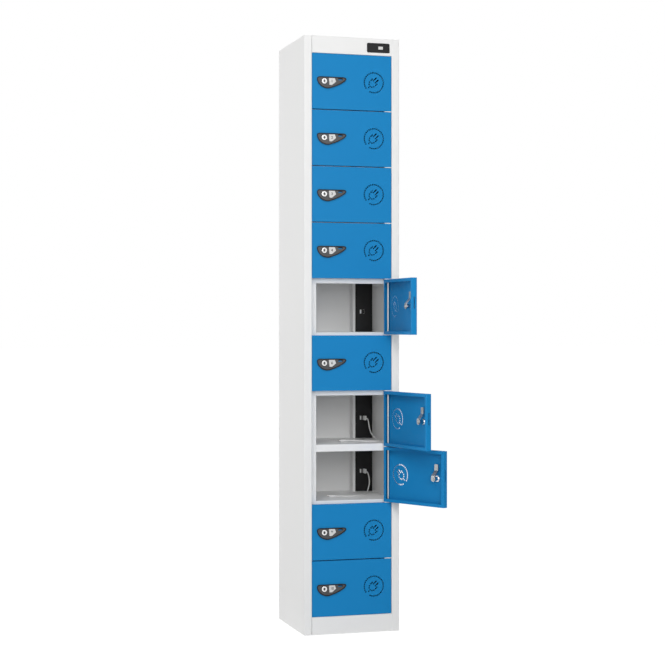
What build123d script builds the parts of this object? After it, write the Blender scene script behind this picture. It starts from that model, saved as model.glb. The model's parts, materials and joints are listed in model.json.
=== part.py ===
from build123d import *
import os
from math import cos, radians, sin, tan

# Tablet charging locker: a narrow sheet-steel tower of ten small compartments, one above the other.
# Each compartment has its own pan door on one common hinge rod, a cam lock behind a leaf-shaped
# handle, and two USB outlets on a duct in its right rear corner.
# Millimetres. The origin is on the floor, below the middle of the carcass.
# +X is to the right seen from the front, +Y to the back, +Z up.

# Carcass, overall
width = 300.0
depth = 300.0
height = 1800.0
sheet = 1.0
bend = 2.0                  # outer radius of a folded edge
seat = 0.3                  # gap between pieces that are slid together
lid_edge = 0.8              # rounding of the top panel's long edges, as a share of its sheet
full_round = 0.45           # corner radius of a rounded bar, as a share of its thickness
compartments = 10
header = 51.0               # from the top down to the first gap between doors
plinth = 53.0               # from the floor up to the last gap

# Front frame
stile = 24.0                # face of each upright beside the doors
stop_depth = 20.0           # how far the door stops lie behind the front
stop_reach = 18.5           # how far the stop on the lock side stands into the opening
back_flange = 15.0

# Doors
door_gap = 3.0              # between one door and the next
side_gap = 1.0              # between a door and its stile
end_gap = 1.0               # above the first door and below the last one
door_thick = 17.0
door_lip = 9.5              # inward return along all four edges of the pan
front_bend = 2.5
rear_bend = 2.0
rest_angle = {5: 90.7, 7: 101.8, 8: 116.4}

# Hinge
rod_d = 7.0
rod_inset = 8.5             # rod centre from the door's edge
rod_depth = 5.5             # rod centre behind the front
rod_play = 0.3              # radial, in the doors
rod_fit = 0.1               # radial, in the brackets
rod_past = 8.0              # how far the rod runs into the header and the plinth
bracket_long = 22.0
bracket_deep = 13.5
bracket_thick = 2.0
bracket_set = 0.3           # bracket behind the front face

# Shelves
shelf_rise = 8.0            # shelf top above the gap line between two doors
lip_tall = 22.0
lip_return = 10.0
shelf_flange = 15.0

# Charging duct, outlets and supply
duct_wide = 65.5
duct_deep = 35.0
faceplate_thick = 1.5
faceplate_margin = 8.5      # white edge of the duct that shows beside the plate
faceplate_right = 0.5
faceplate_edge = 0.4
port_rise = 73.0            # outlet centre above the gap line below it
port_pitch = 10.7
port_from_wall = 29.0       # right-hand outlet centre from the inside of the right wall
port_shell = (5.7, 13.1)    # across and up
port_wall = 0.3
port_long = 14.0
port_cavity = 11.0
port_fit = 0.1
port_set = 0.2              # shell behind the face of the plate
tongue = (1.8, 11.1, 9.0)   # thick, tall, long
tongue_off = 1.0
module = (35.0, 60.0)       # across and up
duct_window = (32.0, 26.0)
cable_d = 6.0
cable_play = 0.9            # radial, where the cable passes the lowest floor
cable_from_face = 23.0      # cable centre behind the front of the duct
inlet_x = 112.0
inlet_z = 28.0
inlet_body = (27.0, 19.8, 24.0)
inlet_flange = (50.0, 24.0, 2.5)
inlet_socket = (24.0, 15.5, 15.0)
inlet_corner = 4.0
inlet_screw = 40.0          # between the two fixing screws
inlet_screw_d = 3.0
inlet_screw_long = 8.0
inlet_screw_head = (5.6, 1.8)
inlet_pin = (2.0, 4.0, 12.0)
inlet_pins = ((-7.0, -2.0), (0.0, 2.0), (7.0, -2.0))
boot_d = 10.0
boot_tall = 8.0

# Wall fixing
wall_hole_d = 8.0
wall_hole_pitch = 120.0
wall_hole_z = 1700.0

# Lock
lock_inset = 36.5           # lock axis from the free edge of the door
lock_face_d = 16.4
lock_face_thick = 2.0
lock_face_edge = 0.6
lock_body_d = 13.0
lock_hole_play = 0.2
plug_d = 9.0
plug_play = 0.3
keyway = (1.6, 7.0, 12.0)
nut_af = 17.0
nut_thick = 4.5
nut_fit = 0.05
cam_thick = 2.5
cam_wide = 14.0
cam_reach = 43.0
cam_root_r = 8.0
cam_crank = 24.0            # distance from the lock axis where the crank ends
cam_corner = 3.0
cam_bends = (1.0, 3.5)       # outer radii of the crank's two bends
cam_gap = 0.3               # between the housing and the turning cam
cam_behind = 3.8            # root of the cam behind the back of the door
screw_head = (8.0, 2.5)
screw_d = 4.0
screw_long = 7.0
screw_fit = 0.1
slot_wide = 4.0             # slot for the cam in the door's edge and in the stile
slot_up = 28.0
slot_down = 8.0
stile_slot_up = 24.0

# Handle, an outline about the lock axis
handle_left = (-25.8, 13.4)
handle_right = (80.8, 13.4)
handle_low = (9.5, -23.6)
handle_bulge_left = (-11.5, -10.0)
handle_bulge_right = (47.0, -7.0)
handle_round = (6.0, 5.0, 20.0)
handle_thick = 4.0
handle_edge = 1.5
card_outline = ((14.4, 10.0), (33.4, 10.0), (37.4, -0.6), (24.6, -11.2), (16.2, -11.2))
card_deep = 1.0
grip = (50.7, 7.4, 14.0, 6.4)   # centre, width and height of the opening beside the card window
grip_round = 2.0

# Perforated sign in each door: a ring of slots round a plug
sign_x = 68.9
sign_up = 1.3
ring_r = 30.2
ring_slots = 29
ring_start = 246.6          # first slot of the ring, which is open beside the plug's cord
ring_step = 11.67
slot = (4.0, 4.0)
plug_turn = 45.0
plug_aside = 0.9            # the plug's middle line from the ring's centre
prong_long = 10.0
prong_ahead = 12.3
prong_side = 4.3
face_ahead = 4.1
arm_ahead = -1.1
plug_r = 10.4               # rounded rear of the plug, and half its width
plug_back = -5.4            # centre of that rounding
rear_turns = (18.0, 54.0, 90.0, 126.0, 162.0)
cord_ahead = -21.8

# Plate on the header
header_plate = (72.0, 29.0, 1.5)
header_plate_right = 31.0    # its right end from the carcass side
header_plate_top = 14.0
header_plate_r = 4.0
header_plate_edge = 0.5
header_window = (15.0, 9.0, 0.6)
header_window_from_right = 28.8

# Charging leads
lead_d = 3.2
lead_clear = 0.2            # between a lying lead and the shelf
arc_share = 0.45            # radius of each arc of a lead, by the shorter run beside it
usb_body = (8.0, 14.0, 18.0)
usb_round = 2.0
usb_insert = (4.5, 12.0, 10.5)
usb_relief = (5.0, 8.0)
end_body = (11.0, 6.2, 19.0)
end_insert = (8.3, 2.5, 6.5)

# Places worked out from the sizes above
half_w = width / 2
front = -depth / 2
back = depth / 2
pitch = (height - header - plinth) / compartments
opening = half_w - stile
door_edge = opening - side_gap
door_tall = pitch - door_gap
rod_x = door_edge - rod_inset
rod_y = front + rod_depth
stop_y = front + stop_depth
door_back = front + door_thick
shelf_start = stop_y + sheet + seat
shelf_end = back - 2 * sheet - seat
lock_x = -door_edge + lock_inset
handle_front = front - handle_thick
cam_y = door_back + cam_behind
tip_y = front + door_thick / 2
duct_left = half_w - sheet - duct_wide
duct_front = back - sheet - duct_deep
plate_front = duct_front - faceplate_thick
port_x = half_w - sheet - port_from_wall
module_x = port_x - port_pitch / 2
cable_y = duct_front + cable_from_face


def gap_line(n):
    """Height of the gap below door n; n = 0 is the gap above the first door."""
    return height - header - n * pitch


def centre(n):
    """Height of the middle of compartment n, counted from the top."""
    return gap_line(n) + pitch / 2


def block(x0, x1, y0, y1, z0, z1):
    """Box between two corners."""
    middle = Pos((x0 + x1) / 2, (y0 + y1) / 2, (z0 + z1) / 2)
    return middle * Box(x1 - x0, y1 - y0, z1 - z0)


def upright(x, y, z0, z1, d):
    """Round bar along Z."""
    return Pos(x, y, (z0 + z1) / 2) * Cylinder(d / 2, z1 - z0)


def along_y(x, z, y0, y1, d):
    """Round bar along Y."""
    return Pos(x, (y0 + y1) / 2, z) * Rot(90, 0, 0) * Cylinder(d / 2, y1 - y0)


def folded(plane, points, radii, thick, side):
    """Section of a bent sheet. The points run along its outer face, with one radius for each bend."""
    path = FilletPolyline(*points, radius=radii)
    outline = offset(path, amount=thick, side=side, closed=True)
    return plane * make_face(outline.edges())


def joined(shapes):
    """One part from a list of solids that touch or overlap."""
    whole = shapes[0]
    for shape in shapes[1:]:
        whole = whole + shape
    return whole


def save(shape, name):
    export_step(shape, f"parts/{name}.step")


# Carcass panels


def left_side_panel():
    inner = bend - sheet
    points = [
        (-half_w + back_flange, back - sheet),
        (-half_w, back - sheet),
        (-half_w, front),
        (-opening, front),
        (-opening, stop_y),
        (-opening + stop_reach, stop_y),
    ]
    section = folded(Plane.XY, points, [bend, bend, bend, inner], sheet, Side.LEFT)
    panel = Pos(0, 0, sheet) * extrude(section, height - 2 * sheet)
    slots = [
        block(-opening - 2 * sheet, -opening + sheet, tip_y - slot_wide / 2, tip_y + slot_wide / 2,
              centre(n) - slot_down, centre(n) + stile_slot_up)
        for n in range(1, compartments + 1)
    ]
    return panel - slots


def right_side_panel():
    points = [
        (half_w - back_flange, back - sheet),
        (half_w, back - sheet),
        (half_w, front),
        (opening, front),
        (opening, stop_y + sheet),
    ]
    section = folded(Plane.XY, points, [bend, bend, bend], sheet, Side.RIGHT)
    return Pos(0, 0, sheet) * extrude(section, height - 2 * sheet)


def back_panel():
    panel = block(-half_w, half_w, back - sheet, back, sheet, height - sheet)
    holes = [
        along_y(side * wall_hole_pitch / 2, wall_hole_z, back - 2 * sheet, back + sheet, wall_hole_d)
        for side in (-1, 1)
    ]
    for x in inlet_screw_places():
        holes.append(along_y(x, inlet_z, back - 2 * sheet, back + sheet, inlet_screw_d))
    wide, tall = inlet_body[0] + 2 * seat, inlet_body[1] + 2 * seat
    holes.append(block(inlet_x - wide / 2, inlet_x + wide / 2, back - 2 * sheet, back + sheet,
                       inlet_z - tall / 2, inlet_z + tall / 2))
    return panel - holes


def top_panel():
    lid = block(-half_w, half_w, front, back, height - sheet, height)
    lid = fillet(lid.edges().filter_by(Axis.X).sort_by(Axis.Z)[-2:], sheet * lid_edge)
    lower = gap_line(0) - door_gap / 2 + end_gap
    points = [
        (front, height - sheet),
        (front, lower),
        (stop_y, lower),
        (stop_y, gap_line(0) + shelf_rise - lip_tall),
        (stop_y + lip_return, gap_line(0) + shelf_rise - lip_tall),
    ]
    section = folded(Plane.YZ, points, [bend, bend - sheet, bend], sheet, Side.LEFT)
    fascia = Pos(-opening + seat, 0, 0) * extrude(section, 2 * opening - seat)
    fascia = fascia - behind_left_stop()
    return lid + fascia - rod_hole()


def base_tray():
    floor = gap_line(compartments) + shelf_rise
    upper = gap_line(compartments) + door_gap / 2 - end_gap
    points = [
        (front, sheet),
        (front, upper),
        (stop_y, upper),
        (stop_y, floor),
        (shelf_end, floor),
    ]
    section = folded(Plane.YZ, points, [bend, bend - sheet, bend], sheet, Side.RIGHT)
    tray = Pos(-opening + seat, 0, 0) * extrude(section, 2 * opening - seat)
    tray = tray - behind_left_stop()
    whole = joined([tray, deck(floor)] + side_flanges(floor, shelf_end - bend))
    return whole - [rod_hole(), cable_hole()]


def base_plate():
    return block(-half_w, half_w, front, back, 0, sheet)


def behind_left_stop():
    """Room for the stop strip of the left side panel, and for the bend beside it."""
    strip = block(-half_w, -opening + stop_reach + seat, stop_y, shelf_start, 0, height - sheet)
    corner = block(-half_w, -opening + bend, stop_y - bend, shelf_start, 0, height - sheet)
    return strip + corner


def rod_hole():
    return upright(rod_x, rod_y, 0, height - 2 * sheet, rod_d + 2 * rod_fit)


def cable_hole():
    return upright(inlet_x, cable_y, plinth / 2, height / 2, cable_d + 2 * cable_play)


def deck(top):
    """Flat of a shelf from wall to wall, with its rear corners cut clear of the back flanges' bends."""
    flat = block(-half_w + sheet, half_w - sheet, shelf_start, shelf_end, top - sheet, top)
    return chamfer(flat.edges().filter_by(Axis.Z).sort_by(Axis.Y)[-2:], bend)


def side_flanges(top, rear_right):
    """Downturned edges that fix a shelf to the side panels."""
    low = top - sheet - shelf_flange
    left = block(-half_w + sheet, -half_w + 2 * sheet, shelf_start, shelf_end - bend, low, top)
    right = block(half_w - 2 * sheet, half_w - sheet, shelf_start, rear_right, low, top)
    return [left, right]


def shelf(n):
    """Shelf below compartment n, with the door stop folded down along its front."""
    top = gap_line(n) + shelf_rise
    points = [
        (stop_y + 4 * bend, top),
        (stop_y, top),
        (stop_y, top - lip_tall),
        (stop_y + lip_return, top - lip_tall),
    ]
    section = folded(Plane.YZ, points, [bend, bend], sheet, Side.LEFT)
    lip_left = -opening + stop_reach + seat
    lip = Pos(lip_left, 0, 0) * extrude(section, opening - lip_left)
    duct_room = block(duct_left - seat, half_w, duct_front - seat, back, top - 2 * sheet, top + sheet)
    ledges = side_flanges(top, plate_front - seat)
    return joined([deck(top) - duct_room, lip] + ledges)


# Hinge


def hinge_rod():
    return upright(rod_x, rod_y, gap_line(compartments) - rod_past, gap_line(0) + rod_past, rod_d)


def hinge_bracket(n):
    z = gap_line(n)
    plate = block(opening - bracket_long, opening, front + bracket_set, front + bracket_set + bracket_deep,
                  z - bracket_thick / 2, z + bracket_thick / 2)
    plate = fillet(plate.edges().filter_by(Axis.Z).sort_by(Axis.X)[:2], bend)
    return plate - upright(rod_x, rod_y, z - bracket_thick, z + bracket_thick, rod_d + 2 * rod_fit)


# Charging duct and what it holds


def charging_duct():
    right = half_w - sheet
    points = [
        (duct_left + back_flange, back - sheet),
        (duct_left, back - sheet),
        (duct_left, duct_front),
        (right, duct_front),
        (right, duct_front + back_flange),
    ]
    section = folded(Plane.XY, points, [bend, bend, bend], sheet, Side.LEFT)
    floor = gap_line(compartments) + shelf_rise
    duct = Pos(0, 0, floor) * extrude(section, height - sheet - floor)
    wide, tall = duct_window
    windows = [
        block(module_x - wide / 2, module_x + wide / 2, duct_front - sheet, duct_front + 2 * sheet,
              port_z(n) - tall / 2, port_z(n) + tall / 2)
        for n in range(1, compartments + 1)
    ]
    return duct - windows


def port_z(n):
    """Height of the outlets in compartment n."""
    return gap_line(n) + port_rise


def port_pockets(n, y0, y1, play):
    """Room for the two outlet shells of compartment n."""
    wide, tall = port_shell[0] + 2 * play, port_shell[1] + 2 * play
    return [
        block(x - wide / 2, x + wide / 2, y0, y1, port_z(n) - tall / 2, port_z(n) + tall / 2)
        for x in (port_x - port_pitch, port_x)
    ]


def faceplate(n):
    low = gap_line(n) + shelf_rise + seat
    high = gap_line(n - 1) + shelf_rise - sheet - seat
    if n == 1:
        high = height - sheet - seat
    plate = block(duct_left + faceplate_margin, half_w - sheet - faceplate_right,
                  plate_front, duct_front, low, high)
    plate = chamfer(plate.faces().sort_by(Axis.Y)[0].edges(), faceplate_edge)
    return plate - port_pockets(n, plate_front - sheet, duct_front + sheet, port_fit)


def charger_module(n):
    wide, tall = module
    box = block(module_x - wide / 2, module_x + wide / 2, duct_front + sheet, cable_y - cable_d / 2 - seat,
                port_z(n) - tall / 2, port_z(n) + tall / 2)
    return box - port_pockets(n, duct_front, plate_front + port_set + port_long, port_fit)


def usb_socket(n, x):
    """Plated shell with its contact tongue."""
    wide, tall = port_shell
    y0 = plate_front + port_set
    z = port_z(n)
    shell = block(x - wide / 2, x + wide / 2, y0, y0 + port_long, z - tall / 2, z + tall / 2)
    hollow_w, hollow_t = wide / 2 - port_wall, tall / 2 - port_wall
    hollow = block(x - hollow_w, x + hollow_w, y0 - sheet, y0 + port_cavity, z - hollow_t, z + hollow_t)
    thick, high, long = tongue
    leaf = block(x + tongue_off - thick / 2, x + tongue_off + thick / 2,
                 y0 + port_cavity - long, y0 + port_cavity, z - high / 2, z + high / 2)
    return shell - hollow + leaf


def inlet_screw_places():
    return [inlet_x + side * inlet_screw / 2 for side in (-1, 1)]


def mains_inlet():
    """Appliance inlet at the back of the plinth, with a boot for the supply cable, and its two screws."""
    wide, tall, long = inlet_body
    body = block(inlet_x - wide / 2, inlet_x + wide / 2, back - long, back,
                 inlet_z - tall / 2, inlet_z + tall / 2)
    f_wide, f_tall, f_thick = inlet_flange
    flange = block(inlet_x - f_wide / 2, inlet_x + f_wide / 2, back, back + f_thick,
                   inlet_z - f_tall / 2, inlet_z + f_tall / 2)
    flange = fillet(flange.edges().filter_by(Axis.Y), inlet_corner)
    boot = upright(inlet_x, cable_y, inlet_z, inlet_z + tall / 2 + boot_tall, boot_d)
    s_wide, s_tall, s_deep = inlet_socket
    face = back + f_thick
    socket = block(inlet_x - s_wide / 2, inlet_x + s_wide / 2, face - s_deep, face + sheet,
                   inlet_z - s_tall / 2, inlet_z + s_tall / 2)
    socket = chamfer(socket.edges().filter_by(Axis.Y).sort_by(Axis.Z)[-2:], inlet_corner)
    holes = [along_y(x, inlet_z, back - sheet, face + sheet, inlet_screw_d) for x in inlet_screw_places()]
    head_d, head_thick = inlet_screw_head
    screws = [
        along_y(x, inlet_z, face, face + head_thick, head_d)
        + along_y(x, inlet_z, face - inlet_screw_long, face, inlet_screw_d)
        for x in inlet_screw_places()
    ]
    p_wide, p_tall, p_long = inlet_pin
    pins = [
        block(inlet_x + dx - p_wide / 2, inlet_x + dx + p_wide / 2, face - s_deep, face - s_deep + p_long,
              inlet_z + dz - p_tall / 2, inlet_z + dz + p_tall / 2)
        for dx, dz in inlet_pins
    ]
    return [joined([body + flange + boot - socket - holes] + pins)] + screws


def supply_cable():
    low = inlet_z + inlet_body[1] / 2 + boot_tall
    return upright(inlet_x, cable_y, low, port_z(1) + module[1] / 2, cable_d)


def header_nameplate():
    """Plain dark plate with a blank window, in the header."""
    wide, tall, thick = header_plate
    right = half_w - header_plate_right
    z = height - header_plate_top - tall / 2
    plate = block(right - wide, right, front - thick, front, z - tall / 2, z + tall / 2)
    plate = fillet(plate.edges().filter_by(Axis.Y), header_plate_r)
    plate = fillet(plate.faces().sort_by(Axis.Y)[0].edges(), header_plate_edge)
    w_wide, w_tall, w_deep = header_window
    x = right - header_window_from_right
    return plate - block(x - w_wide / 2, x + w_wide / 2, front - thick - sheet, front - thick + w_deep,
                         z - w_tall / 2, z + w_tall / 2)


# Doors, built shut about the middle of their own height


def door_pan():
    outline = Pos(0, (front + door_back) / 2) * Rectangle(2 * door_edge, door_thick)
    outline = fillet(outline.vertices().group_by(Axis.Y)[0], front_bend)
    outline = fillet(outline.vertices().group_by(Axis.Y)[-1], rear_bend)
    hollow = offset(outline, -sheet)
    pan = extrude(outline, door_tall / 2, both=True)
    pan = pan - extrude(hollow, door_tall / 2 - sheet, both=True)
    across, up = door_edge - door_lip, door_tall / 2 - door_lip
    mouth = block(-across, across, door_back - 2 * sheet, door_back + sheet, -up, up)
    bores = [
        upright(rod_x, rod_y, -door_tall, door_tall, rod_d + 2 * rod_play),
        along_y(lock_x, 0, front - sheet, front + 2 * sheet, lock_body_d + 2 * lock_hole_play),
        block(-door_edge - sheet, -door_edge + 2 * sheet, tip_y - slot_wide / 2, tip_y + slot_wide / 2,
              -slot_down, slot_up),
    ]
    return pan - [mouth] - bores - sign_slots()


def front_slot(x, z, wide, tall, turn):
    """Slot through the door's front sheet, turned about its own middle."""
    return Pos(x, front + sheet / 2, z) * Rot(0, -turn, 0) * Box(wide, 4 * sheet, tall)


def sign_slots():
    """Ring of slots round a plug with two prongs, a rounded rear and a short cord."""
    ring = []
    for k in range(ring_slots):
        turn = ring_start + k * ring_step
        x = sign_x + ring_r * cos(radians(turn))
        z = sign_up + ring_r * sin(radians(turn))
        ring.append(front_slot(x, z, slot[1], slot[0], turn))
    along = (cos(radians(plug_turn)), sin(radians(plug_turn)))

    def at(ahead, side, long, extra=0.0):
        aside = plug_aside + side
        x = sign_x + ahead * along[0] - aside * along[1]
        z = sign_up + ahead * along[1] + aside * along[0]
        return front_slot(x, z, long, slot[1], plug_turn + extra)

    plug = []
    for hand in (-1, 1):
        plug.append(at(prong_ahead, hand * prong_side, prong_long))
        plug += [at(face_ahead, hand * side, slot[0], 90) for side in (prong_side, plug_r)]
        plug.append(at(arm_ahead, hand * plug_r, slot[0]))
    for turn in rear_turns:
        plug.append(at(plug_back - plug_r * sin(radians(turn)), plug_r * cos(radians(turn)), slot[0], turn))
    plug.append(at(cord_ahead, 0, slot[0]))
    return ring + plug


def handle():
    left, right, low = handle_left, handle_right, handle_low
    lines = [
        Line(left, right),
        ThreePointArc(right, handle_bulge_right, low),
        ThreePointArc(low, handle_bulge_left, left),
    ]
    face = make_face(lines)
    for point, radius in zip((left, right, low), handle_round):
        corner = face.vertices().sort_by_distance(Vector(*point))[0]
        face = fillet(corner, radius)
    plane = Plane(origin=(lock_x, front, 0), x_dir=(1, 0, 0), z_dir=(0, -1, 0))
    body = extrude(plane * face, handle_thick)
    body = fillet(body.faces().sort_by(Axis.Y)[0].edges(), handle_edge)
    card_face = make_face(Polyline(*card_outline, close=True))
    window = Pos(0, card_deep - handle_thick, 0) * extrude(plane * card_face, handle_thick)
    g_x, g_z, g_wide, g_tall = grip
    hole = block(lock_x + g_x - g_wide / 2, lock_x + g_x + g_wide / 2, handle_front - sheet,
                 front + sheet, g_z - g_tall / 2, g_z + g_tall / 2)
    hole = fillet(hole.edges().filter_by(Axis.Y), grip_round)
    bore = along_y(lock_x, 0, handle_front - sheet, front + sheet, lock_body_d + 2 * lock_hole_play)
    return body - [window, hole, bore]


def lock_barrel():
    """Housing clamped through handle and door, and its nut."""
    rear = cam_y - cam_gap
    rim = along_y(lock_x, 0, handle_front - lock_face_thick, handle_front, lock_face_d)
    rim = fillet(rim.edges().sort_by(Axis.Y)[0], lock_face_edge)
    body = along_y(lock_x, 0, handle_front, rear, lock_body_d)
    bore = along_y(lock_x, 0, handle_front - 2 * lock_face_thick, rear + sheet, plug_d + 2 * plug_play)
    plane = Plane(origin=(lock_x, front + sheet + nut_thick, 0), x_dir=(1, 0, 0), z_dir=(0, -1, 0))
    nut = extrude(plane * RegularPolygon(nut_af / 2, 6, major_radius=False), nut_thick)
    nut = nut - along_y(lock_x, 0, front, front + 3 * nut_thick, lock_body_d + 2 * nut_fit)
    return [rim + body - bore, nut]


def lock_cam():
    """Turning plug, the cranked cam on its end and the screw that holds it, with the cam straight up."""
    face = handle_front - lock_face_thick
    plug = along_y(lock_x, 0, face, cam_y, plug_d)
    wide, tall, deep = keyway
    plug = plug - block(lock_x - wide / 2, lock_x + wide / 2, face - sheet, face + deep, -tall / 2, tall / 2)
    bore = along_y(lock_x, 0, cam_y - screw_long, cam_y + 2 * cam_thick, screw_d + 2 * screw_fit)
    points = [
        (cam_y, -2 * cam_root_r),
        (cam_y, cam_root_r),
        (tip_y - cam_thick / 2, cam_crank),
        (tip_y - cam_thick / 2, 2 * cam_reach),
    ]
    strip = folded(Plane.YZ, points, list(cam_bends), cam_thick, Side.RIGHT)
    strip = Pos(lock_x - cam_wide, 0, 0) * extrude(strip, 2 * cam_wide)
    shank = Pos(0, cam_reach / 2) * Rectangle(cam_wide, cam_reach)
    shank = fillet(shank.vertices().group_by(Axis.Y)[-1], cam_corner)
    plane = Plane(origin=(lock_x, back, 0), x_dir=(1, 0, 0), z_dir=(0, -1, 0))
    cam = strip & extrude(plane * (shank + Circle(cam_root_r)), depth)
    head_d, head_thick = screw_head
    rear = cam_y + cam_thick
    screw = along_y(lock_x, 0, rear, rear + head_thick, head_d)
    screw = screw + along_y(lock_x, 0, cam_y - screw_long + sheet, rear, screw_d)
    return [plug - bore, cam - bore, screw]


def placed(shape, n):
    """A door piece raised to compartment n and turned about the hinge rod to its angle at rest."""
    hinge = Pos(rod_x, rod_y, centre(n))
    return hinge * Rot(0, 0, rest_angle.get(n, 0.0)) * Pos(-rod_x, -rod_y, 0) * shape


# Charging leads, one in each of two compartments


def lead_route(n):
    """Corners of the lead in compartment n, from its plug to its far end."""
    floor = gap_line(n) + shelf_rise
    start = plate_front - usb_body[2] - usb_relief[1]
    lying = floor + lead_d / 2 + lead_clear
    at_end = floor + end_body[1] / 2
    level = port_z(n)
    routes = {
        7: [
            (port_x, start, level), (port_x, start - 12, level), (port_x + 0.5, start - 21, level - 9),
            (port_x + 1, start - 26, level - 22), (port_x + 3, start - 28, level - 36),
            (port_x + 7, start - 34, level - 49), (port_x + 12, start - 45, level - 58),
            (port_x + 16, start - 62, lying + 0.5), (port_x + 18, start - 86, lying),
            (port_x + 15, start - 112, lying), (port_x + 3, start - 134, lying),
            (port_x - 19, start - 142, lying), (port_x - 41, start - 134, lying),
            (port_x - 62, start - 118, lying + 0.2), (port_x - 82, start - 110, at_end),
            (port_x - 100, start - 109, at_end),
        ],
        8: [
            (port_x, start, level), (port_x, start - 12, level), (port_x + 0.5, start - 21, level - 8),
            (port_x + 1, start - 28, level - 20), (port_x + 1, start - 30, level - 34),
            (port_x - 2, start - 30, level - 48), (port_x - 7, start - 34, level - 59),
            (port_x - 13, start - 47, lying + 0.5), (port_x - 23, start - 68, lying),
            (port_x - 37, start - 90, lying), (port_x - 54, start - 110, lying),
            (port_x - 74, start - 124, lying), (port_x - 97, start - 130, lying + 0.2),
            (port_x - 119, start - 128, at_end), (port_x - 138, start - 120, at_end),
        ],
    }
    return [Vector(*point) for point in routes[n]]


def lead_path(n):
    """Straight runs joined by arcs as large as the runs allow."""
    points = lead_route(n)
    radii = []
    for before, here, after in zip(points, points[1:], points[2:]):
        run_in, run_out = here - before, after - here
        half_turn = radians(run_in.get_angle(run_out)) / 2
        radii.append(arc_share * min(run_in.length, run_out.length) / tan(half_turn))
    print(f"lead {n}: radii {min(radii):.1f} to {max(radii):.1f}, runs",
          " ".join(f"{(b - a).length:.0f}" for a, b in zip(points, points[1:])))
    return FilletPolyline(*points, radius=radii)


def charging_lead(n):
    path = lead_path(n)
    section = Plane(origin=path @ 0, z_dir=path % 0) * Circle(lead_d / 2)
    tube = sweep(section, path=path)
    expected = path.length * Circle(lead_d / 2).area
    print(f"lead {n}: length {path.length:.1f}, volume over section times length {tube.volume / expected:.4f}")
    return tube


def usb_plug(n):
    """Plug in the right-hand outlet, with its strain relief."""
    z = port_z(n)
    wide, tall, long = usb_body
    grip_body = block(port_x - wide / 2, port_x + wide / 2, plate_front - long, plate_front,
                      z - tall / 2, z + tall / 2)
    grip_body = fillet(grip_body.edges().filter_by(Axis.Y), usb_round)
    i_wide, i_tall, i_long = usb_insert
    insert = block(port_x - i_wide / 2, port_x + i_wide / 2, plate_front, plate_front + i_long,
                   z - i_tall / 2, z + i_tall / 2)
    thick, high, long_tongue = tongue
    slit = block(port_x + tongue_off - thick / 2 - seat, port_x + i_wide / 2 - port_wall,
                 plate_front + sheet, plate_front + 2 * i_long,
                 z - high / 2 - port_wall / 2, z + high / 2 + port_wall / 2)
    relief = along_y(port_x, z, plate_front - long - usb_relief[1], plate_front - long, usb_relief[0])
    return joined([grip_body, insert - slit, relief])


def lead_end(n):
    """Connector for the tablet, lying on the shelf at the far end of the lead."""
    points = lead_route(n)
    heading = (points[-1] - points[-2]).normalized()
    turn = Vector(0, -1, 0).get_signed_angle(heading, Vector(0, 0, 1))
    wide, tall, long = end_body
    body = block(-wide / 2, wide / 2, -long, 0, -tall / 2, tall / 2)
    body = fillet(body.edges().filter_by(Axis.Y), tall * full_round)
    i_wide, i_tall, i_long = end_insert
    insert = block(-i_wide / 2, i_wide / 2, -long - i_long, -long, -i_tall / 2, i_tall / 2)
    insert = fillet(insert.edges().filter_by(Axis.Y), i_tall * full_round)
    return Pos(*points[-1]) * Rot(0, 0, turn) * (body + insert)


# Write every piece


os.makedirs("parts", exist_ok=True)
numbers = range(1, compartments + 1)

save(left_side_panel(), "left_side_panel")
save(right_side_panel(), "right_side_panel")
save(back_panel(), "back_panel")
save(top_panel(), "top_panel")
save(base_tray(), "base_tray")
save(base_plate(), "base_plate")
save(Compound(children=[shelf(n) for n in numbers if n < compartments]), "shelves")
save(hinge_rod(), "hinge_rod")
save(Compound(children=[hinge_bracket(n) for n in numbers if n < compartments]), "hinge_brackets")
save(charging_duct(), "charging_duct")
save(Compound(children=[faceplate(n) for n in numbers]), "outlet_faceplates")
save(Compound(children=[charger_module(n) for n in numbers]), "charger_modules")
sockets = [usb_socket(n, x) for n in numbers for x in (port_x - port_pitch, port_x)]
save(Compound(children=sockets), "usb_sockets")
save(Compound(children=mains_inlet()), "mains_inlet")
save(supply_cable(), "supply_cable")
save(header_nameplate(), "header_plate")

pan, grip_piece, barrel, cam = door_pan(), handle(), lock_barrel(), lock_cam()
for n in numbers:
    save(placed(pan, n), f"door_{n:02d}")
    save(placed(grip_piece, n), f"handle_{n:02d}")
    save(Compound(children=[placed(piece, n) for piece in barrel]), f"lock_barrel_{n:02d}")
    save(Compound(children=[placed(piece, n) for piece in cam]), f"lock_cam_{n:02d}")

for n in (7, 8):
    save(charging_lead(n), f"charging_lead_{n:02d}")
    save(Compound(children=[usb_plug(n), lead_end(n)]), f"lead_connectors_{n:02d}")
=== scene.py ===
import bmesh
import bpy
import json
from math import radians
from mathutils import Matrix, Vector


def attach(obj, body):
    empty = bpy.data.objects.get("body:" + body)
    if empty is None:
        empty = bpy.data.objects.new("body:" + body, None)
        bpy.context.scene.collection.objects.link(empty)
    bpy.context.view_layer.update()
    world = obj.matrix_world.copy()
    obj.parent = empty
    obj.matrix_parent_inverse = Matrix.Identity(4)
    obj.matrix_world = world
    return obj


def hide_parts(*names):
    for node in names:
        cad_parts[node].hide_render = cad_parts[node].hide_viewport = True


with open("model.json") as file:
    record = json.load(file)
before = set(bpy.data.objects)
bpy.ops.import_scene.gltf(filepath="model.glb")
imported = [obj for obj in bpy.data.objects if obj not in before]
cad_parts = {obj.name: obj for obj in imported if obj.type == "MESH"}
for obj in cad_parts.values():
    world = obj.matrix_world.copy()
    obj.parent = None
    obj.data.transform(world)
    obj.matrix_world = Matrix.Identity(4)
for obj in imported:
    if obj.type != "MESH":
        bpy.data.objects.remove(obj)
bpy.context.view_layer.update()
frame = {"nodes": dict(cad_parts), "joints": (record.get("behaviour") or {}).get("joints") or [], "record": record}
nodes = frame["nodes"]
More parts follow.
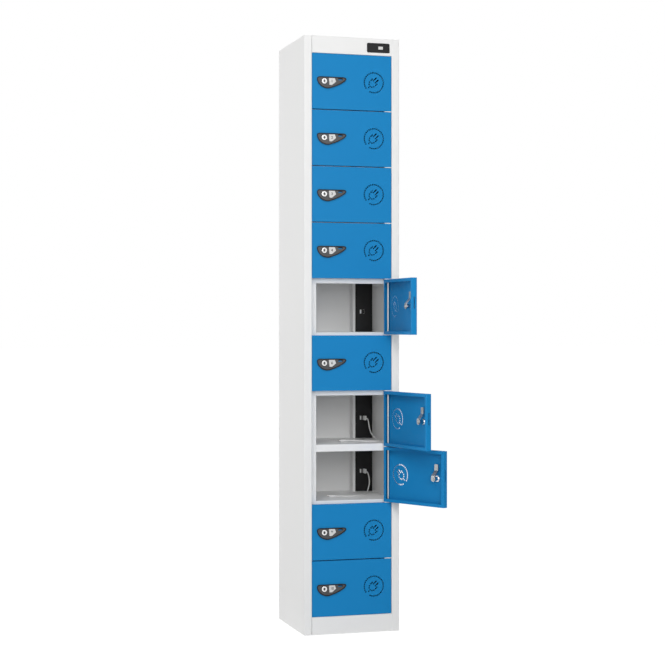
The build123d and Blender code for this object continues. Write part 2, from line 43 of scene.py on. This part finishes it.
joints = {joint["name"]: joint for joint in frame["joints"]}

# Sizes in millimetres, in the CAD's frame; MM turns them into metres
MM = 0.001
HEIGHT = 1800.0
HEADER = 51.0
PITCH = 169.6
COMPARTMENTS = range(1, 11)
FRONT = -150.0
LOCK_X = -88.5
SHELF_RISE = 8.0
PORT_X = 120.0
PORT_PITCH = 10.7
PORT_RISE = 73.0
PLATE_FRONT = 112.5
INLET_X = 112.0
INLET_Z = 28.0


def gap_line(n):
    return HEIGHT - HEADER - n * PITCH


def middle(n):
    return gap_line(n) + PITCH / 2


def port_z(n):
    return gap_line(n) + PORT_RISE


# Camera at the photograph's viewpoint, in metres and degrees

LENS = 88.67
SENSOR = 36.0
SHIFT = -0.01128
EYE = (-1.4573, -4.8795, 0.931)
HEADING = -16.44
camera_data = bpy.data.cameras.new("camera")
camera_data.lens, camera_data.sensor_width = LENS, SENSOR
camera_data.shift_y = SHIFT
camera = bpy.data.objects.new("camera", camera_data)
bpy.context.scene.collection.objects.link(camera)
camera.location = EYE
camera.rotation_euler = (radians(90), 0, radians(HEADING))
bpy.context.scene.camera = camera


# Shader building

NOISE_RANGE = (0.3, 0.7)
TONE_DETAIL = 3.0
RELIEF_DETAIL = 2.0


def wire(tree, source, target):
    tree.links.new(source, target)


def surface_group(name, stretch=(1.0, 1.0, 1.0)):
    """Slowly drifting tone, varying roughness and fine relief, over Object coordinates."""
    group = bpy.data.node_groups.new(name, "ShaderNodeTree")
    face = group.interface
    for label, kind, value in (
        ("Light Tone", "NodeSocketColor", (0.8, 0.8, 0.8, 1)),
        ("Dark Tone", "NodeSocketColor", (0.7, 0.7, 0.7, 1)),
        ("Tone Size", "NodeSocketFloat", 0.1),
        ("Smoothest", "NodeSocketFloat", 0.35),
        ("Roughest", "NodeSocketFloat", 0.45),
        ("Relief Size", "NodeSocketFloat", 0.002),
        ("Relief Height", "NodeSocketFloat", 0.00003),
    ):
        face.new_socket(label, in_out="INPUT", socket_type=kind).default_value = value
    for label, kind in (("Color", "NodeSocketColor"), ("Roughness", "NodeSocketFloat"),
                        ("Normal", "NodeSocketVector")):
        face.new_socket(label, in_out="OUTPUT", socket_type=kind)
    make = group.nodes.new
    given, out = make("NodeGroupInput"), make("NodeGroupOutput")
    place, stretched = make("ShaderNodeTexCoord"), make("ShaderNodeMapping")
    stretched.inputs["Scale"].default_value = stretch
    wire(group, place.outputs["Object"], stretched.inputs["Vector"])

    def clouds(size, detail):
        per_metre = make("ShaderNodeMath")
        per_metre.operation = "DIVIDE"
        per_metre.inputs[0].default_value = 1
        wire(group, size, per_metre.inputs[1])
        noise = make("ShaderNodeTexNoise")
        noise.inputs["Detail"].default_value = detail
        wire(group, stretched.outputs["Vector"], noise.inputs["Vector"])
        wire(group, per_metre.outputs[0], noise.inputs["Scale"])
        return noise.outputs["Fac"]

    slow = clouds(given.outputs["Tone Size"], TONE_DETAIL)
    fine = clouds(given.outputs["Relief Size"], RELIEF_DETAIL)
    tone = make("ShaderNodeMix")
    tone.data_type = "RGBA"
    wire(group, slow, tone.inputs["Factor"])
    wire(group, given.outputs["Light Tone"], tone.inputs["A"])
    wire(group, given.outputs["Dark Tone"], tone.inputs["B"])
    wire(group, tone.outputs["Result"], out.inputs["Color"])
    spread = make("ShaderNodeMapRange")
    wire(group, fine, spread.inputs["Value"])
    spread.inputs["From Min"].default_value = NOISE_RANGE[0]
    spread.inputs["From Max"].default_value = NOISE_RANGE[1]
    wire(group, given.outputs["Smoothest"], spread.inputs["To Min"])
    wire(group, given.outputs["Roughest"], spread.inputs["To Max"])
    wire(group, spread.outputs["Result"], out.inputs["Roughness"])
    bump = make("ShaderNodeBump")
    wire(group, fine, bump.inputs["Height"])
    wire(group, given.outputs["Relief Height"], bump.inputs["Distance"])
    wire(group, bump.outputs["Normal"], out.inputs["Normal"])
    return group


coated_surface = surface_group("coated_surface")
drawn_surface = surface_group("drawn_surface", stretch=(1.0, 1.0, 0.08))


def finish_of(name, group, light, dark, tone_size, rough, relief, metallic=0.0, specular=0.5):
    """Material with one surface group and its own values. Sizes and relief are in metres."""
    material = bpy.data.materials.new(name)
    material.use_nodes = True
    tree = material.node_tree
    shader = tree.nodes["Principled BSDF"]
    surface = tree.nodes.new("ShaderNodeGroup")
    surface.node_tree = group
    values = {"Light Tone": (*light, 1), "Dark Tone": (*dark, 1), "Tone Size": tone_size,
              "Smoothest": rough[0], "Roughest": rough[1],
              "Relief Size": relief[0], "Relief Height": relief[1]}
    for label, value in values.items():
        surface.inputs[label].default_value = value
    wire(tree, surface.outputs["Color"], shader.inputs["Base Color"])
    wire(tree, surface.outputs["Roughness"], shader.inputs["Roughness"])
    wire(tree, surface.outputs["Normal"], shader.inputs["Normal"])
    shader.inputs["Metallic"].default_value = metallic
    shader.inputs["Specular IOR Level"].default_value = specular
    material.diffuse_color = (*light, 1)
    return material


white_coat = finish_of(
    "white_powder_coat", coated_surface, light=(0.89, 0.89, 0.885), dark=(0.87, 0.87, 0.865),
    tone_size=0.25, rough=(0.38, 0.46), relief=(0.0022, 0.00003), specular=0.25)
blue_coat = finish_of(
    "blue_powder_coat", coated_surface, light=(0.011, 0.243, 0.57), dark=(0.010, 0.231, 0.545),
    tone_size=0.22, rough=(0.38, 0.46), relief=(0.0022, 0.00003), specular=0.1)
zinc = finish_of(
    "zinc_steel", drawn_surface, light=(0.50, 0.50, 0.49), dark=(0.42, 0.43, 0.44),
    tone_size=0.012, rough=(0.34, 0.46), relief=(0.0009, 0.00001), metallic=1.0)
chrome = finish_of(
    "chrome", coated_surface, light=(0.80, 0.80, 0.80), dark=(0.76, 0.76, 0.77),
    tone_size=0.01, rough=(0.09, 0.14), relief=(0.0015, 0.000003), metallic=1.0)
# The handle field's light and dark tones lie far apart, so its random patches act as painted highlights of a domed
# face on top of the plastic's own tone drift
field_drift_and_painted_highlights = finish_of(
    "field_drift_and_painted_highlights", coated_surface, light=(0.078, 0.080, 0.084), dark=(0.036, 0.034, 0.034),
    tone_size=0.03, rough=(0.36, 0.44), relief=(0.0006, 0.000012), specular=0.4)
# Near-black for the handle's rim and the numbers, and also painted shade: the finger pocket's floor and the oval
# round the keyhole
dark_rim_and_painted_shade = finish_of(
    "dark_rim_and_painted_shade", coated_surface, light=(0.010, 0.010, 0.011), dark=(0.007, 0.007, 0.008),
    tone_size=0.02, rough=(0.42, 0.5), relief=(0.0006, 0.000006), specular=0.2)
black_moulding = finish_of(
    "black_plastic", coated_surface, light=(0.007, 0.007, 0.0075), dark=(0.005, 0.005, 0.0055),
    tone_size=0.03, rough=(0.42, 0.52), relief=(0.0007, 0.00002), specular=0.3)
module_moulding = finish_of(
    "module_plastic", coated_surface, light=(0.022, 0.022, 0.024), dark=(0.017, 0.017, 0.018),
    tone_size=0.03, rough=(0.5, 0.6), relief=(0.0009, 0.00002), specular=0.3)
nickel = finish_of(
    "nickel_shell", coated_surface, light=(0.70, 0.69, 0.67), dark=(0.62, 0.61, 0.60),
    tone_size=0.01, rough=(0.16, 0.24), relief=(0.0008, 0.000004), metallic=1.0)
cable_sheath = finish_of(
    "grey_cable", coated_surface, light=(0.045, 0.045, 0.048), dark=(0.036, 0.036, 0.039),
    tone_size=0.02, rough=(0.55, 0.65), relief=(0.0008, 0.00002), specular=0.3)
lead_sheath = finish_of(
    "white_lead", coated_surface, light=(0.82, 0.82, 0.81), dark=(0.78, 0.78, 0.775),
    tone_size=0.03, rough=(0.34, 0.42), relief=(0.0009, 0.00001), specular=0.4)
card_stock = finish_of(
    "card_stock", coated_surface, light=(0.72, 0.72, 0.71), dark=(0.68, 0.68, 0.67),
    tone_size=0.004, rough=(0.5, 0.6), relief=(0.0005, 0.000006), specular=0.3)

FINISH = {
    "white_powder_coat": white_coat,
    "blue_powder_coat": blue_coat,
    "zinc_steel": zinc,
    "chrome": chrome,
    "charcoal_plastic": dark_rim_and_painted_shade,
    "black_plastic": black_moulding,
    "module_plastic": module_moulding,
    "nickel_shell": nickel,
    "grey_cable": cable_sheath,
    "white_lead": lead_sheath,
}
for part in frame["record"]["subparts"]:
    mesh = nodes[part["node"]].data
    mesh.materials.clear()
    mesh.materials.append(FINISH[part["material_slot"]])


# Metal on the mains inlet, found by where its faces lie

INLET_BODY_REACH = 16.0
SCREW_HEAD_Y = 152.55
PIN_REACH = (8.5, 4.5)
PIN_Y = 137.6


def plate_inlet_metal():
    """Zinc on the inlet's two screw heads and nickel on its three pins."""
    mesh = nodes["mains_inlet"].data
    mesh.materials.append(zinc)
    mesh.materials.append(nickel)
    for face in mesh.polygons:
        spot = face.center / MM
        across, up = abs(spot.x - INLET_X), abs(spot.z - INLET_Z)
        if across > INLET_BODY_REACH and spot.y > SCREW_HEAD_Y:
            face.material_index = 1
        elif across < PIN_REACH[0] and up < PIN_REACH[1] and spot.y > PIN_Y:
            face.material_index = 2


plate_inlet_metal()


# Mesh building, in millimetres until a piece is finished

SHARP_FROM = radians(35)


def piece(bm, name, body, materials, place=Matrix.Identity(4)):
    """Object from a bmesh in millimetres, put in its place, riding on a body."""
    bmesh.ops.recalc_face_normals(bm, faces=bm.faces)
    mesh = bpy.data.meshes.new(name)
    bm.to_mesh(mesh)
    bm.free()
    mesh.transform(place @ Matrix.Scale(MM, 4))
    mesh.shade_smooth()
    mesh.set_sharp_from_angle(angle=SHARP_FROM)
    for material in materials:
        mesh.materials.append(material)
    obj = bpy.data.objects.new(name, mesh)
    bpy.context.scene.collection.objects.link(obj)
    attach(obj, body)
    return obj


def at(x, y, z):
    return Matrix.Translation(Vector((x, y, z)) * MM)


def rounded_face(bm, corners, y=0.0, segments=5):
    """Flat face in the plane of the doors. A corner is x, z and how far its rounding reaches."""
    bm.faces.new([bm.verts.new((x, y, z)) for x, z, _ in corners])
    for x, z, reach in corners:
        if reach:
            corner = min(bm.verts, key=lambda v: (v.co - Vector((x, y, z))).length)
            bmesh.ops.bevel(bm, geom=[corner], offset=reach, offset_type="OFFSET",
                            segments=segments, profile=0.5, affect="VERTICES", material=-1)
    return max(bm.faces, key=lambda f: len(f.verts))


def boundary(bm, face, gone=True):
    """Edges round a face, which is then deleted unless it stays as a wall."""
    edges = list(face.edges)
    if gone:
        bmesh.ops.delete(bm, geom=[face], context="FACES_ONLY")
    return edges


def pulled(bm, edges, along):
    """Wall swept from a loop of edges; gives the edges of its new end."""
    new = bmesh.ops.extrude_edge_only(bm, edges=edges)["geom"]
    verts = [v for v in new if isinstance(v, bmesh.types.BMVert)]
    bmesh.ops.translate(bm, verts=verts, vec=Vector(along))
    return [e for e in new if isinstance(e, bmesh.types.BMEdge)
            and all(v in verts for v in e.verts)]


def scaled(bm, edges, across, up, about):
    """Loop of edges made wider and taller about a point."""
    verts = list({v for e in edges for v in e.verts})
    bmesh.ops.scale(bm, verts=verts, vec=(across, 1, up),
                    space=Matrix.Translation(-Vector(about)))


def oblong(x, z, wide, tall, reach):
    """Corners of a rounded rectangle."""
    return [(x + i * wide / 2, z + k * tall / 2, reach)
            for i, k in ((-1, 1), (1, 1), (1, -1), (-1, -1))]


def ring_edges(bm, radius, x, y, z, segments=40):
    """Circle in the plane of the doors."""
    place = Matrix.Translation((x, y, z)) @ Matrix.Rotation(radians(90), 4, "X")
    made = bmesh.ops.create_circle(bm, cap_ends=False, radius=radius, segments=segments,
                                   matrix=place)
    return list({e for v in made["verts"] for e in v.link_edges})


def filled(bm, edges):
    bmesh.ops.triangle_fill(bm, edges=edges, use_beauty=True, use_dissolve=False,
                            normal=(0, -1, 0))


def bar(bm, corners, y0, y1, segments=3):
    """Solid bar between two depths."""
    front = boundary(bm, rounded_face(bm, corners, y=y0, segments=segments), gone=False)
    filled(bm, pulled(bm, front, (0, y1 - y0, 0)))


def sleeve(bm, outer, inner, y0, y1, floor):
    """Bar with a hollow from its front down to a floor; gives the faces of the hollow."""
    rim = boundary(bm, rounded_face(bm, outer, y=y0, segments=3))
    mouth = boundary(bm, rounded_face(bm, inner, y=y0, segments=3))
    filled(bm, rim + mouth)
    filled(bm, pulled(bm, rim, (0, y1 - y0, 0)))
    shell = set(bm.faces)
    filled(bm, pulled(bm, mouth, (0, floor - y0, 0)))
    return set(bm.faces) - shell


def turned(bm, profile, x, z):
    """Solid of rings along Y. The profile is a list of y and radius."""
    y, radius = profile[0]
    ring = ring_edges(bm, radius, x, y, z, segments=28)
    filled(bm, ring)
    for next_y, next_radius in profile[1:]:
        ring = pulled(bm, ring, (0, next_y - y, 0))
        growth = next_radius / radius
        scaled(bm, ring, growth, growth, (x, next_y, z))
        y, radius = next_y, next_radius
    filled(bm, ring)


# Handles, number cards and dark ovals of painted keyhole shade, each drawn about the lock's axis on the door's
# front

THICK = 4.0
FIELD_DROP = 0.6
RIM = 2.8
EDGE_ROUND = 1.2
LEAF = ((-25.8, 13.4, 11.4), (80.8, 13.4, 22.6), (48.6, -11.0, 20.0), (9.5, -23.6, 9.0),
        (-17.3, -13.6, 13.0))
CARD = ((14.4, 10.0), (33.4, 10.0), (37.4, -0.6), (24.6, -11.2), (16.2, -11.2))
CARD_MIDDLE = (25.0, 0.0)
CARD_ROUND = 0.9
CARD_DEEP = 1.0
CARD_THICK = 0.65
CARD_FIT = 0.975
NUMBER_TALL = 11.0
NUMBER_THICK = 0.04
NUMBER_BOLD = 0.12
NUMBER_SHIFT = (-0.6, 0.4)
NUMBER_PROUD = 0.02
# The finger pocket's floor, drawn near-black in the handle, is painted shadow under the top rim
GRIP = (50.7, 7.4, 14.0, 6.4, 1.6)
GRIP_DEEP = 2.2
GRIP_SLIT = (50.7, 5.8, 12.0, 2.8, 0.8)
BORE_R = 6.7
COLLAR_R = 9.0
LOCK_PROUD = 2.0
# Half width and half height of the dark oval of painted keyhole shade, and its thickness
KEYHOLE_SHADE_REACH = (2.3, 4.0)
KEYHOLE_SHADE_THICK = 0.25
KEYWAY = ((-0.7, 2.9, 0.5), (0.7, 2.9, 0.5), (0.7, -2.9, 0.5), (-0.7, -2.9, 0.5))


def card_corners(size=1.0):
    x0, z0 = CARD_MIDDLE
    return [(x0 + (x - x0) * size, z0 + (z - z0) * size, CARD_ROUND) for x, z in CARD]


def door_place(n):
    """From the lock's axis on a shut door's front to where that door rests."""
    joint = joints[f"door_hinge_{n:02d}"]
    hinge = Matrix.Translation(joint["pos_m"])
    turn = Matrix.Rotation(radians(-joint["range_deg"][0]), 4, "Z")
    return hinge @ turn @ hinge.inverted() @ at(LOCK_X, FRONT, middle(n))


def leaf_handle(n):
    """Thin leaf with a dark rim, a recess for the card, a finger pocket and a lock collar; the pocket's near-black
    floor is painted shadow under the top rim.
    """
    bm = bmesh.new()
    leaf = rounded_face(bm, LEAF, y=-THICK, segments=8)
    outer = list(leaf.edges)
    bmesh.ops.inset_region(bm, faces=[leaf], thickness=RIM, depth=0,
                           use_even_offset=True, use_boundary=True)
    lip = pulled(bm, boundary(bm, leaf), (0, FIELD_DROP, 0))
    rim = set(bm.faces)
    level = -THICK + FIELD_DROP
    window = boundary(bm, rounded_face(bm, card_corners(), y=level, segments=3))
    pocket = boundary(bm, rounded_face(bm, oblong(*GRIP), y=level, segments=3))
    collar = ring_edges(bm, COLLAR_R, 0, level, 0)
    filled(bm, lip + window + pocket + collar)
    filled(bm, pulled(bm, window, (0, CARD_DEEP, 0)))
    field = set(bm.faces) - rim
    ledge = pulled(bm, pocket, (0, GRIP_DEEP, 0))
    slit = boundary(bm, rounded_face(bm, oblong(*GRIP_SLIT), y=level + GRIP_DEEP, segments=3))
    filled(bm, ledge + slit)
    raised = pulled(bm, collar, (0, -FIELD_DROP, 0))
    bore = pulled(bm, raised, (0, 0, 0))
    scaled(bm, bore, BORE_R / COLLAR_R, BORE_R / COLLAR_R, (0, 0, 0))
    through = pulled(bm, bore, (0, THICK, 0))
    behind = pulled(bm, slit, (0, -level - GRIP_DEEP, 0))
    foot = pulled(bm, outer, (0, THICK, 0))
    filled(bm, through + behind + foot)
    # The field and card recess take the field material; all else takes the near-black rim material, which on the
    # finger pocket's floor is painted shadow
    for f in bm.faces:
        f.material_index = 0 if f in field else 1
    bmesh.ops.bevel(bm, geom=outer, offset=EDGE_ROUND, offset_type="OFFSET", segments=3,
                    profile=0.5, affect="EDGES", material=-1)
    handle = piece(bm, f"leaf_handle_{n:02d}", f"door_{n:02d}",
                   (field_drift_and_painted_highlights, dark_rim_and_painted_shade), door_place(n))
    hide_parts(f"handle_{n:02d}")


def number_card(n):
    """Pale card in the handle's recess, with the compartment's number raised on it."""
    bm = bmesh.new()
    level = -THICK + FIELD_DROP + CARD_DEEP
    face = rounded_face(bm, card_corners(CARD_FIT), y=level - CARD_THICK, segments=3)
    filled(bm, pulled(bm, boundary(bm, face, gone=False), (0, CARD_THICK, 0)))
    piece(bm, f"number_card_{n:02d}", f"door_{n:02d}", (card_stock,), door_place(n))
    text = bpy.data.curves.new("number", "FONT")
    text.body, text.size, text.align_x, text.align_y = str(n), NUMBER_TALL, "CENTER", "CENTER"
    text.extrude, text.offset = NUMBER_THICK, NUMBER_BOLD
    letters = bpy.data.objects.new("number", text)
    bpy.context.scene.collection.objects.link(letters)
    bpy.context.view_layer.update()
    mesh = bpy.data.meshes.new_from_object(letters)
    bpy.data.objects.remove(letters)
    upright = Matrix.Rotation(radians(90), 4, "X")
    on_card = Matrix.Translation((CARD_MIDDLE[0] + NUMBER_SHIFT[0],
                                  level - CARD_THICK - NUMBER_PROUD,
                                  CARD_MIDDLE[1] + NUMBER_SHIFT[1]))
    mesh.transform(on_card @ upright)
    bm = bmesh.new()
    bm.from_mesh(mesh)
    bpy.data.meshes.remove(mesh)
    piece(bm, f"number_{n:02d}", f"door_{n:02d}", (dark_rim_and_painted_shade,), door_place(n))


def key_guide(n):
    """Dark oval of painted keyhole shade round the keyway, on the lock's face."""
    bm = bmesh.new()
    y = -THICK - LOCK_PROUD - KEYHOLE_SHADE_THICK
    oval = ring_edges(bm, 1.0, 0, y, 0, segments=28)
    scaled(bm, oval, *KEYHOLE_SHADE_REACH, (0, 0, 0))
    slit = boundary(bm, rounded_face(bm, KEYWAY, y=y, segments=2))
    filled(bm, oval + slit)
    back_oval = pulled(bm, oval, (0, KEYHOLE_SHADE_THICK, 0))
    back_slit = pulled(bm, slit, (0, KEYHOLE_SHADE_THICK, 0))
    filled(bm, back_oval + back_slit)
    piece(bm, f"key_guide_{n:02d}", f"lock_cam_{n:02d}", (dark_rim_and_painted_shade,),
          door_place(n))


for n in COMPARTMENTS:
    leaf_handle(n)
    number_card(n)
    key_guide(n)


# Badge: a pale blank window in the header's plate

WINDOW = (90.2, 1771.5, 14.8, 8.8, 0.8)
WINDOW_FRONT = FRONT - 1.4
WINDOW_BACK = FRONT - 0.95


def badge_window():
    bm = bmesh.new()
    bar(bm, oblong(*WINDOW), WINDOW_FRONT, WINDOW_BACK)
    piece(bm, "badge_window", "carcass", (card_stock,))


badge_window()


# USB outlets: plated shells, with a white tongue on the left and a dark one on the right

OUTLET = (5.7, 13.1, 0.9)
OUTLET_HOLLOW = (5.1, 12.5, 0.6)
OUTLET_INSET = 0.2
OUTLET_LONG = 14
OUTLET_DEEP = 11
LEFT_TONGUE = (4.2, 11.6, 0.3)
LEFT_TONGUE_SHIFT = 0.1
LEFT_TONGUE_INSET = 0.3
RIGHT_TONGUE = (1.8, 11.1, 0.2)
RIGHT_TONGUE_SHIFT = 1.0
RIGHT_TONGUE_INSET = 2


def usb_outlets():
    face = PLATE_FRONT + OUTLET_INSET
    shells, white, dark = bmesh.new(), bmesh.new(), bmesh.new()
    left, right = PORT_X - PORT_PITCH, PORT_X
    for n in COMPARTMENTS:
        z = port_z(n)
        for x, lining in ((left, 0), (right, 1)):
            for wall in sleeve(shells, oblong(x, z, *OUTLET), oblong(x, z, *OUTLET_HOLLOW),
                               face, face + OUTLET_LONG, face + OUTLET_DEEP):
                wall.material_index = lining
        bar(white, oblong(left + LEFT_TONGUE_SHIFT, z, *LEFT_TONGUE),
            face + LEFT_TONGUE_INSET, face + OUTLET_DEEP)
        bar(dark, oblong(right + RIGHT_TONGUE_SHIFT, z, *RIGHT_TONGUE),
            face + RIGHT_TONGUE_INSET, face + OUTLET_DEEP)
    shells = piece(shells, "usb_shells", "carcass", (nickel, black_moulding))
    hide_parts("usb_sockets")
    piece(white, "usb_tongues_left", "carcass", (lead_sheath,))
    piece(dark, "usb_tongues_right", "carcass", (black_moulding,))


usb_outlets()


# Charging leads, each on the route of its CAD tube, with a plug at both ends

LEAD_D = 3.2
LEAD_START = 86.5
LEAD_LIFT = 0.2
TABLET_PLUG_RISE = 3.1
PLUG_LONG = 18
PLUG_HEEL = (7.0, 13.0, 1.8)
PLUG_HEEL_LONG = 1.2
PLUG_BODY = (8.0, 14.0, 2.0)
PLUG_GAP = 0.05
PLUG_SHELL = (4.5, 12.0, 0.3)
PLUG_SHELL_HOLLOW = (3.9, 11.4, 0.2)
PLUG_SHELL_LONG = 10.5
PLUG_SHELL_FLOOR = 0.4
STRAIN_RELIEF = ((0, 1.75), (1.6, 1.9), (1.6, 2.2), (3.2, 2.3), (3.2, 1.9), (4.4, 2.0),
                 (4.4, 2.4), (6.2, 2.5), (6.2, 2.1))
STRAIN_RELIEF_R = 2.3
TABLET_BODY = (11.0, 6.2, 2.7)
TABLET_BODY_LONG = 19.0
TABLET_HEEL = (10.0, 5.4, 2.4)
TABLET_HEEL_LONG = 1.0
TABLET_RELIEF = ((0.0, 2.4), (1.6, 2.3), (1.6, 2.0), (3.0, 1.9))
TABLET_SHELL = (8.3, 2.5, 1.1)
TABLET_SHELL_HOLLOW = (7.7, 1.9, 0.8)
TABLET_SHELL_LONG = 6.5
TABLET_SHELL_DEEP = 5.5


def usb_plug(n):
    """Moulded plug with a ribbed sleeve on the cord and a plated shell in the outlet."""
    z = port_z(n)
    bm = bmesh.new()
    rear = PLATE_FRONT - PLUG_LONG
    step = rear + PLUG_HEEL_LONG
    bar(bm, oblong(PORT_X, z, *PLUG_HEEL), rear, step)
    bar(bm, oblong(PORT_X, z, *PLUG_BODY), step, PLATE_FRONT - PLUG_GAP, segments=5)
    ribs = [(LEAD_START + y, radius) for y, radius in STRAIN_RELIEF]
    turned(bm, [*ribs, (rear + PLUG_GAP, STRAIN_RELIEF_R)], PORT_X, z)
    plug = piece(bm, f"usb_plug_{n:02d}", "carcass", (lead_sheath,))
    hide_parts(f"lead_connectors_{n:02d}")
    bm = bmesh.new()
    sleeve(bm, oblong(PORT_X, z, *PLUG_SHELL), oblong(PORT_X, z, *PLUG_SHELL_HOLLOW),
           PLATE_FRONT + PLUG_SHELL_LONG, PLATE_FRONT, PLATE_FRONT + PLUG_SHELL_FLOOR)
    return plug, piece(bm, f"plug_shell_{n:02d}", "carcass", (nickel,))


def tablet_plug(n, end, before):
    """Flat connector lying on the shelf at the far end of a lead."""
    heading = Vector(end) - Vector(before)
    turn = -Vector((0, -1)).angle_signed(heading.xy)
    place = at(*end) @ Matrix.Rotation(turn, 4, "Z")
    bm = bmesh.new()
    bar(bm, oblong(0, 0, *TABLET_BODY), -TABLET_BODY_LONG, -TABLET_HEEL_LONG, segments=5)
    bar(bm, oblong(0, 0, *TABLET_HEEL), -TABLET_HEEL_LONG, 0.0)
    turned(bm, TABLET_RELIEF, 0, 0)
    body = piece(bm, f"tablet_plug_{n:02d}", "carcass", (lead_sheath,), place)
    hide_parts(f"lead_connectors_{n:02d}")
    bm = bmesh.new()
    tip = -TABLET_BODY_LONG - TABLET_SHELL_LONG
    sleeve(bm, oblong(0, 0, *TABLET_SHELL), oblong(0, 0, *TABLET_SHELL_HOLLOW),
           tip, -TABLET_BODY_LONG, tip + TABLET_SHELL_DEEP)
    return body, piece(bm, f"tablet_shell_{n:02d}", "carcass", (nickel,), place)


def lead(n, route):
    """Free cord from its outlet to its far connector, on a route in millimetres."""
    curve = bpy.data.curves.new(f"lead_{n:02d}", "CURVE")
    curve.dimensions = "3D"
    curve.bevel_depth = LEAD_D / 2 * MM
    curve.bevel_resolution = 6
    curve.resolution_u = 10
    curve.use_fill_caps = True
    spline = curve.splines.new("NURBS")
    spline.points.add(len(route) - 1)
    for point, (x, y, z) in zip(spline.points, route):
        point.co = (x * MM, y * MM, z * MM, 1)
    spline.order_u = 3
    spline.use_endpoint_u = True
    curve.materials.append(lead_sheath)
    obj = bpy.data.objects.new(f"lead_{n:02d}", curve)
    bpy.context.scene.collection.objects.link(obj)
    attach(obj, "carcass")
    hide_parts(f"charging_lead_{n:02d}")
    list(usb_plug(n))
    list(tablet_plug(n, route[-1], route[-2]))


def lead_heights(n):
    """Heights of a lead at its outlet, lying on the shelf and at its far end."""
    floor = gap_line(n) + SHELF_RISE
    return port_z(n), floor + LEAD_D / 2 + LEAD_LIFT, floor + TABLET_PLUG_RISE


level, lying, at_end = lead_heights(7)
lead(7, (
    (120, 86.5, level), (120, 74.5, level), (120.5, 65.5, level - 9), (121, 60.5, level - 22),
    (123, 58.5, level - 36), (127, 52.5, level - 49), (132, 41.5, level - 58),
    (136, 24.5, lying + 0.5), (138, 0.5, lying), (135, -25.5, lying), (123, -47.5, lying),
    (101, -55.5, lying), (79, -47.5, lying), (58, -31.5, lying + 0.2), (38, -23.5, at_end),
    (20, -22.5, at_end),
))
level, lying, at_end = lead_heights(8)
lead(8, (
    (120, 86.5, level), (120, 74.5, level), (120.5, 65.5, level - 8), (121, 58.5, level - 20),
    (121, 56.5, level - 34), (118, 56.5, level - 48), (113, 52.5, level - 59),
    (107, 39.5, lying + 0.5), (97, 18.5, lying), (83, -3.5, lying), (66, -23.5, lying),
    (46, -37.5, lying), (23, -43.5, lying + 0.2), (1, -41.5, at_end), (-18, -33.5, at_end),
))


# Floor, white surroundings and soft light

WHITE = (1, 1, 1, 1)
FILL = 0.22
BACKGROUND = 1.0
FLOOR_REACH = 60
FLOOR_TONE = (0.75, 0.75, 0.75, 1)
SHADOW_TONE = (0.15, 0.15, 0.15, 1)
FLOOR_GLOW = 0.985
MID_LOCKER = (0, 0, 0.9)


def rays_of(tree, *kinds):
    """Mask that is 1 for rays of the kinds given, and 0 for others."""
    rays = tree.nodes.new("ShaderNodeLightPath")
    mask = rays.outputs[kinds[0]]
    for kind in kinds[1:]:
        either = tree.nodes.new("ShaderNodeMath")
        either.operation = "MAXIMUM"
        wire(tree, mask, either.inputs[0])
        wire(tree, rays.outputs[kind], either.inputs[1])
        mask = either.outputs[0]
    return mask


def chosen(tree, mask, otherwise, where_masked):
    """Second shader where the mask is 1, and the first elsewhere."""
    mix = tree.nodes.new("ShaderNodeMixShader")
    wire(tree, mask, mix.inputs[0])
    wire(tree, otherwise.outputs[0], mix.inputs[1])
    wire(tree, where_masked.outputs[0], mix.inputs[2])
    return mix.outputs[0]


def white_surroundings():
    """World that lights softly but looks white to the camera and in reflections."""
    world = bpy.data.worlds.new("studio")
    bpy.context.scene.world = world
    world.use_nodes = True
    tree = world.node_tree
    fill, seen = tree.nodes["Background"], tree.nodes.new("ShaderNodeBackground")
    for background, strength in ((fill, FILL), (seen, BACKGROUND)):
        background.inputs["Color"].default_value = WHITE
        background.inputs["Strength"].default_value = strength
    mask = rays_of(tree, "Is Camera Ray", "Is Glossy Ray", "Is Transmission Ray")
    wire(tree, chosen(tree, mask, fill, seen), tree.nodes["World Output"].inputs["Surface"])


def studio_floor():
    """Floor that glows to the camera and in reflections, and keeps the locker's shadow."""
    bm = bmesh.new()
    bmesh.ops.create_grid(bm, x_segments=4, y_segments=4, size=FLOOR_REACH)
    mesh = bpy.data.meshes.new("floor")
    bm.to_mesh(mesh)
    bm.free()
    material = bpy.data.materials.new("floor")
    material.use_nodes = True
    tree = material.node_tree
    tree.nodes.remove(tree.nodes["Principled BSDF"])
    plain, shaded = (tree.nodes.new("ShaderNodeBsdfDiffuse") for _ in range(2))
    plain.inputs["Color"].default_value = FLOOR_TONE
    shaded.inputs["Color"].default_value = SHADOW_TONE
    glow, both = tree.nodes.new("ShaderNodeEmission"), tree.nodes.new("ShaderNodeAddShader")
    glow.inputs["Strength"].default_value = FLOOR_GLOW
    wire(tree, glow.outputs[0], both.inputs[0])
    wire(tree, shaded.outputs[0], both.inputs[1])
    mask = rays_of(tree, "Is Camera Ray", "Is Glossy Ray")
    wire(tree, chosen(tree, mask, plain, both), tree.nodes["Material Output"].inputs["Surface"])
    mesh.materials.append(material)
    floor = bpy.data.objects.new("floor", mesh)
    bpy.context.scene.collection.objects.link(floor)


def soft_lamp(name, place, size, power, aim=MID_LOCKER):
    """Round area lamp, in metres and watts."""
    data = bpy.data.lights.new(name, "AREA")
    data.shape, data.size, data.energy = "DISK", size, power
    lamp = bpy.data.objects.new(name, data)
    bpy.context.scene.collection.objects.link(lamp)
    lamp.location = place
    lamp.rotation_euler = (Vector(aim) - Vector(place)).to_track_quat("-Z", "Y").to_euler()


white_surroundings()
studio_floor()
soft_lamp("key", place=(-0.3, -4.0, 1.9), size=2.4, power=62)
soft_lamp("high", place=(-1.6, -2.6, 3.4), size=1.6, power=37)
soft_lamp("left", place=(-2.6, -3.2, 1.2), size=1.6, power=13)
soft_lamp("side", place=(-3.0, 1.6, 1.6), size=1.4, power=43, aim=(-0.15, 0, 0.9))
bpy.context.scene.view_settings.view_transform = "Standard"
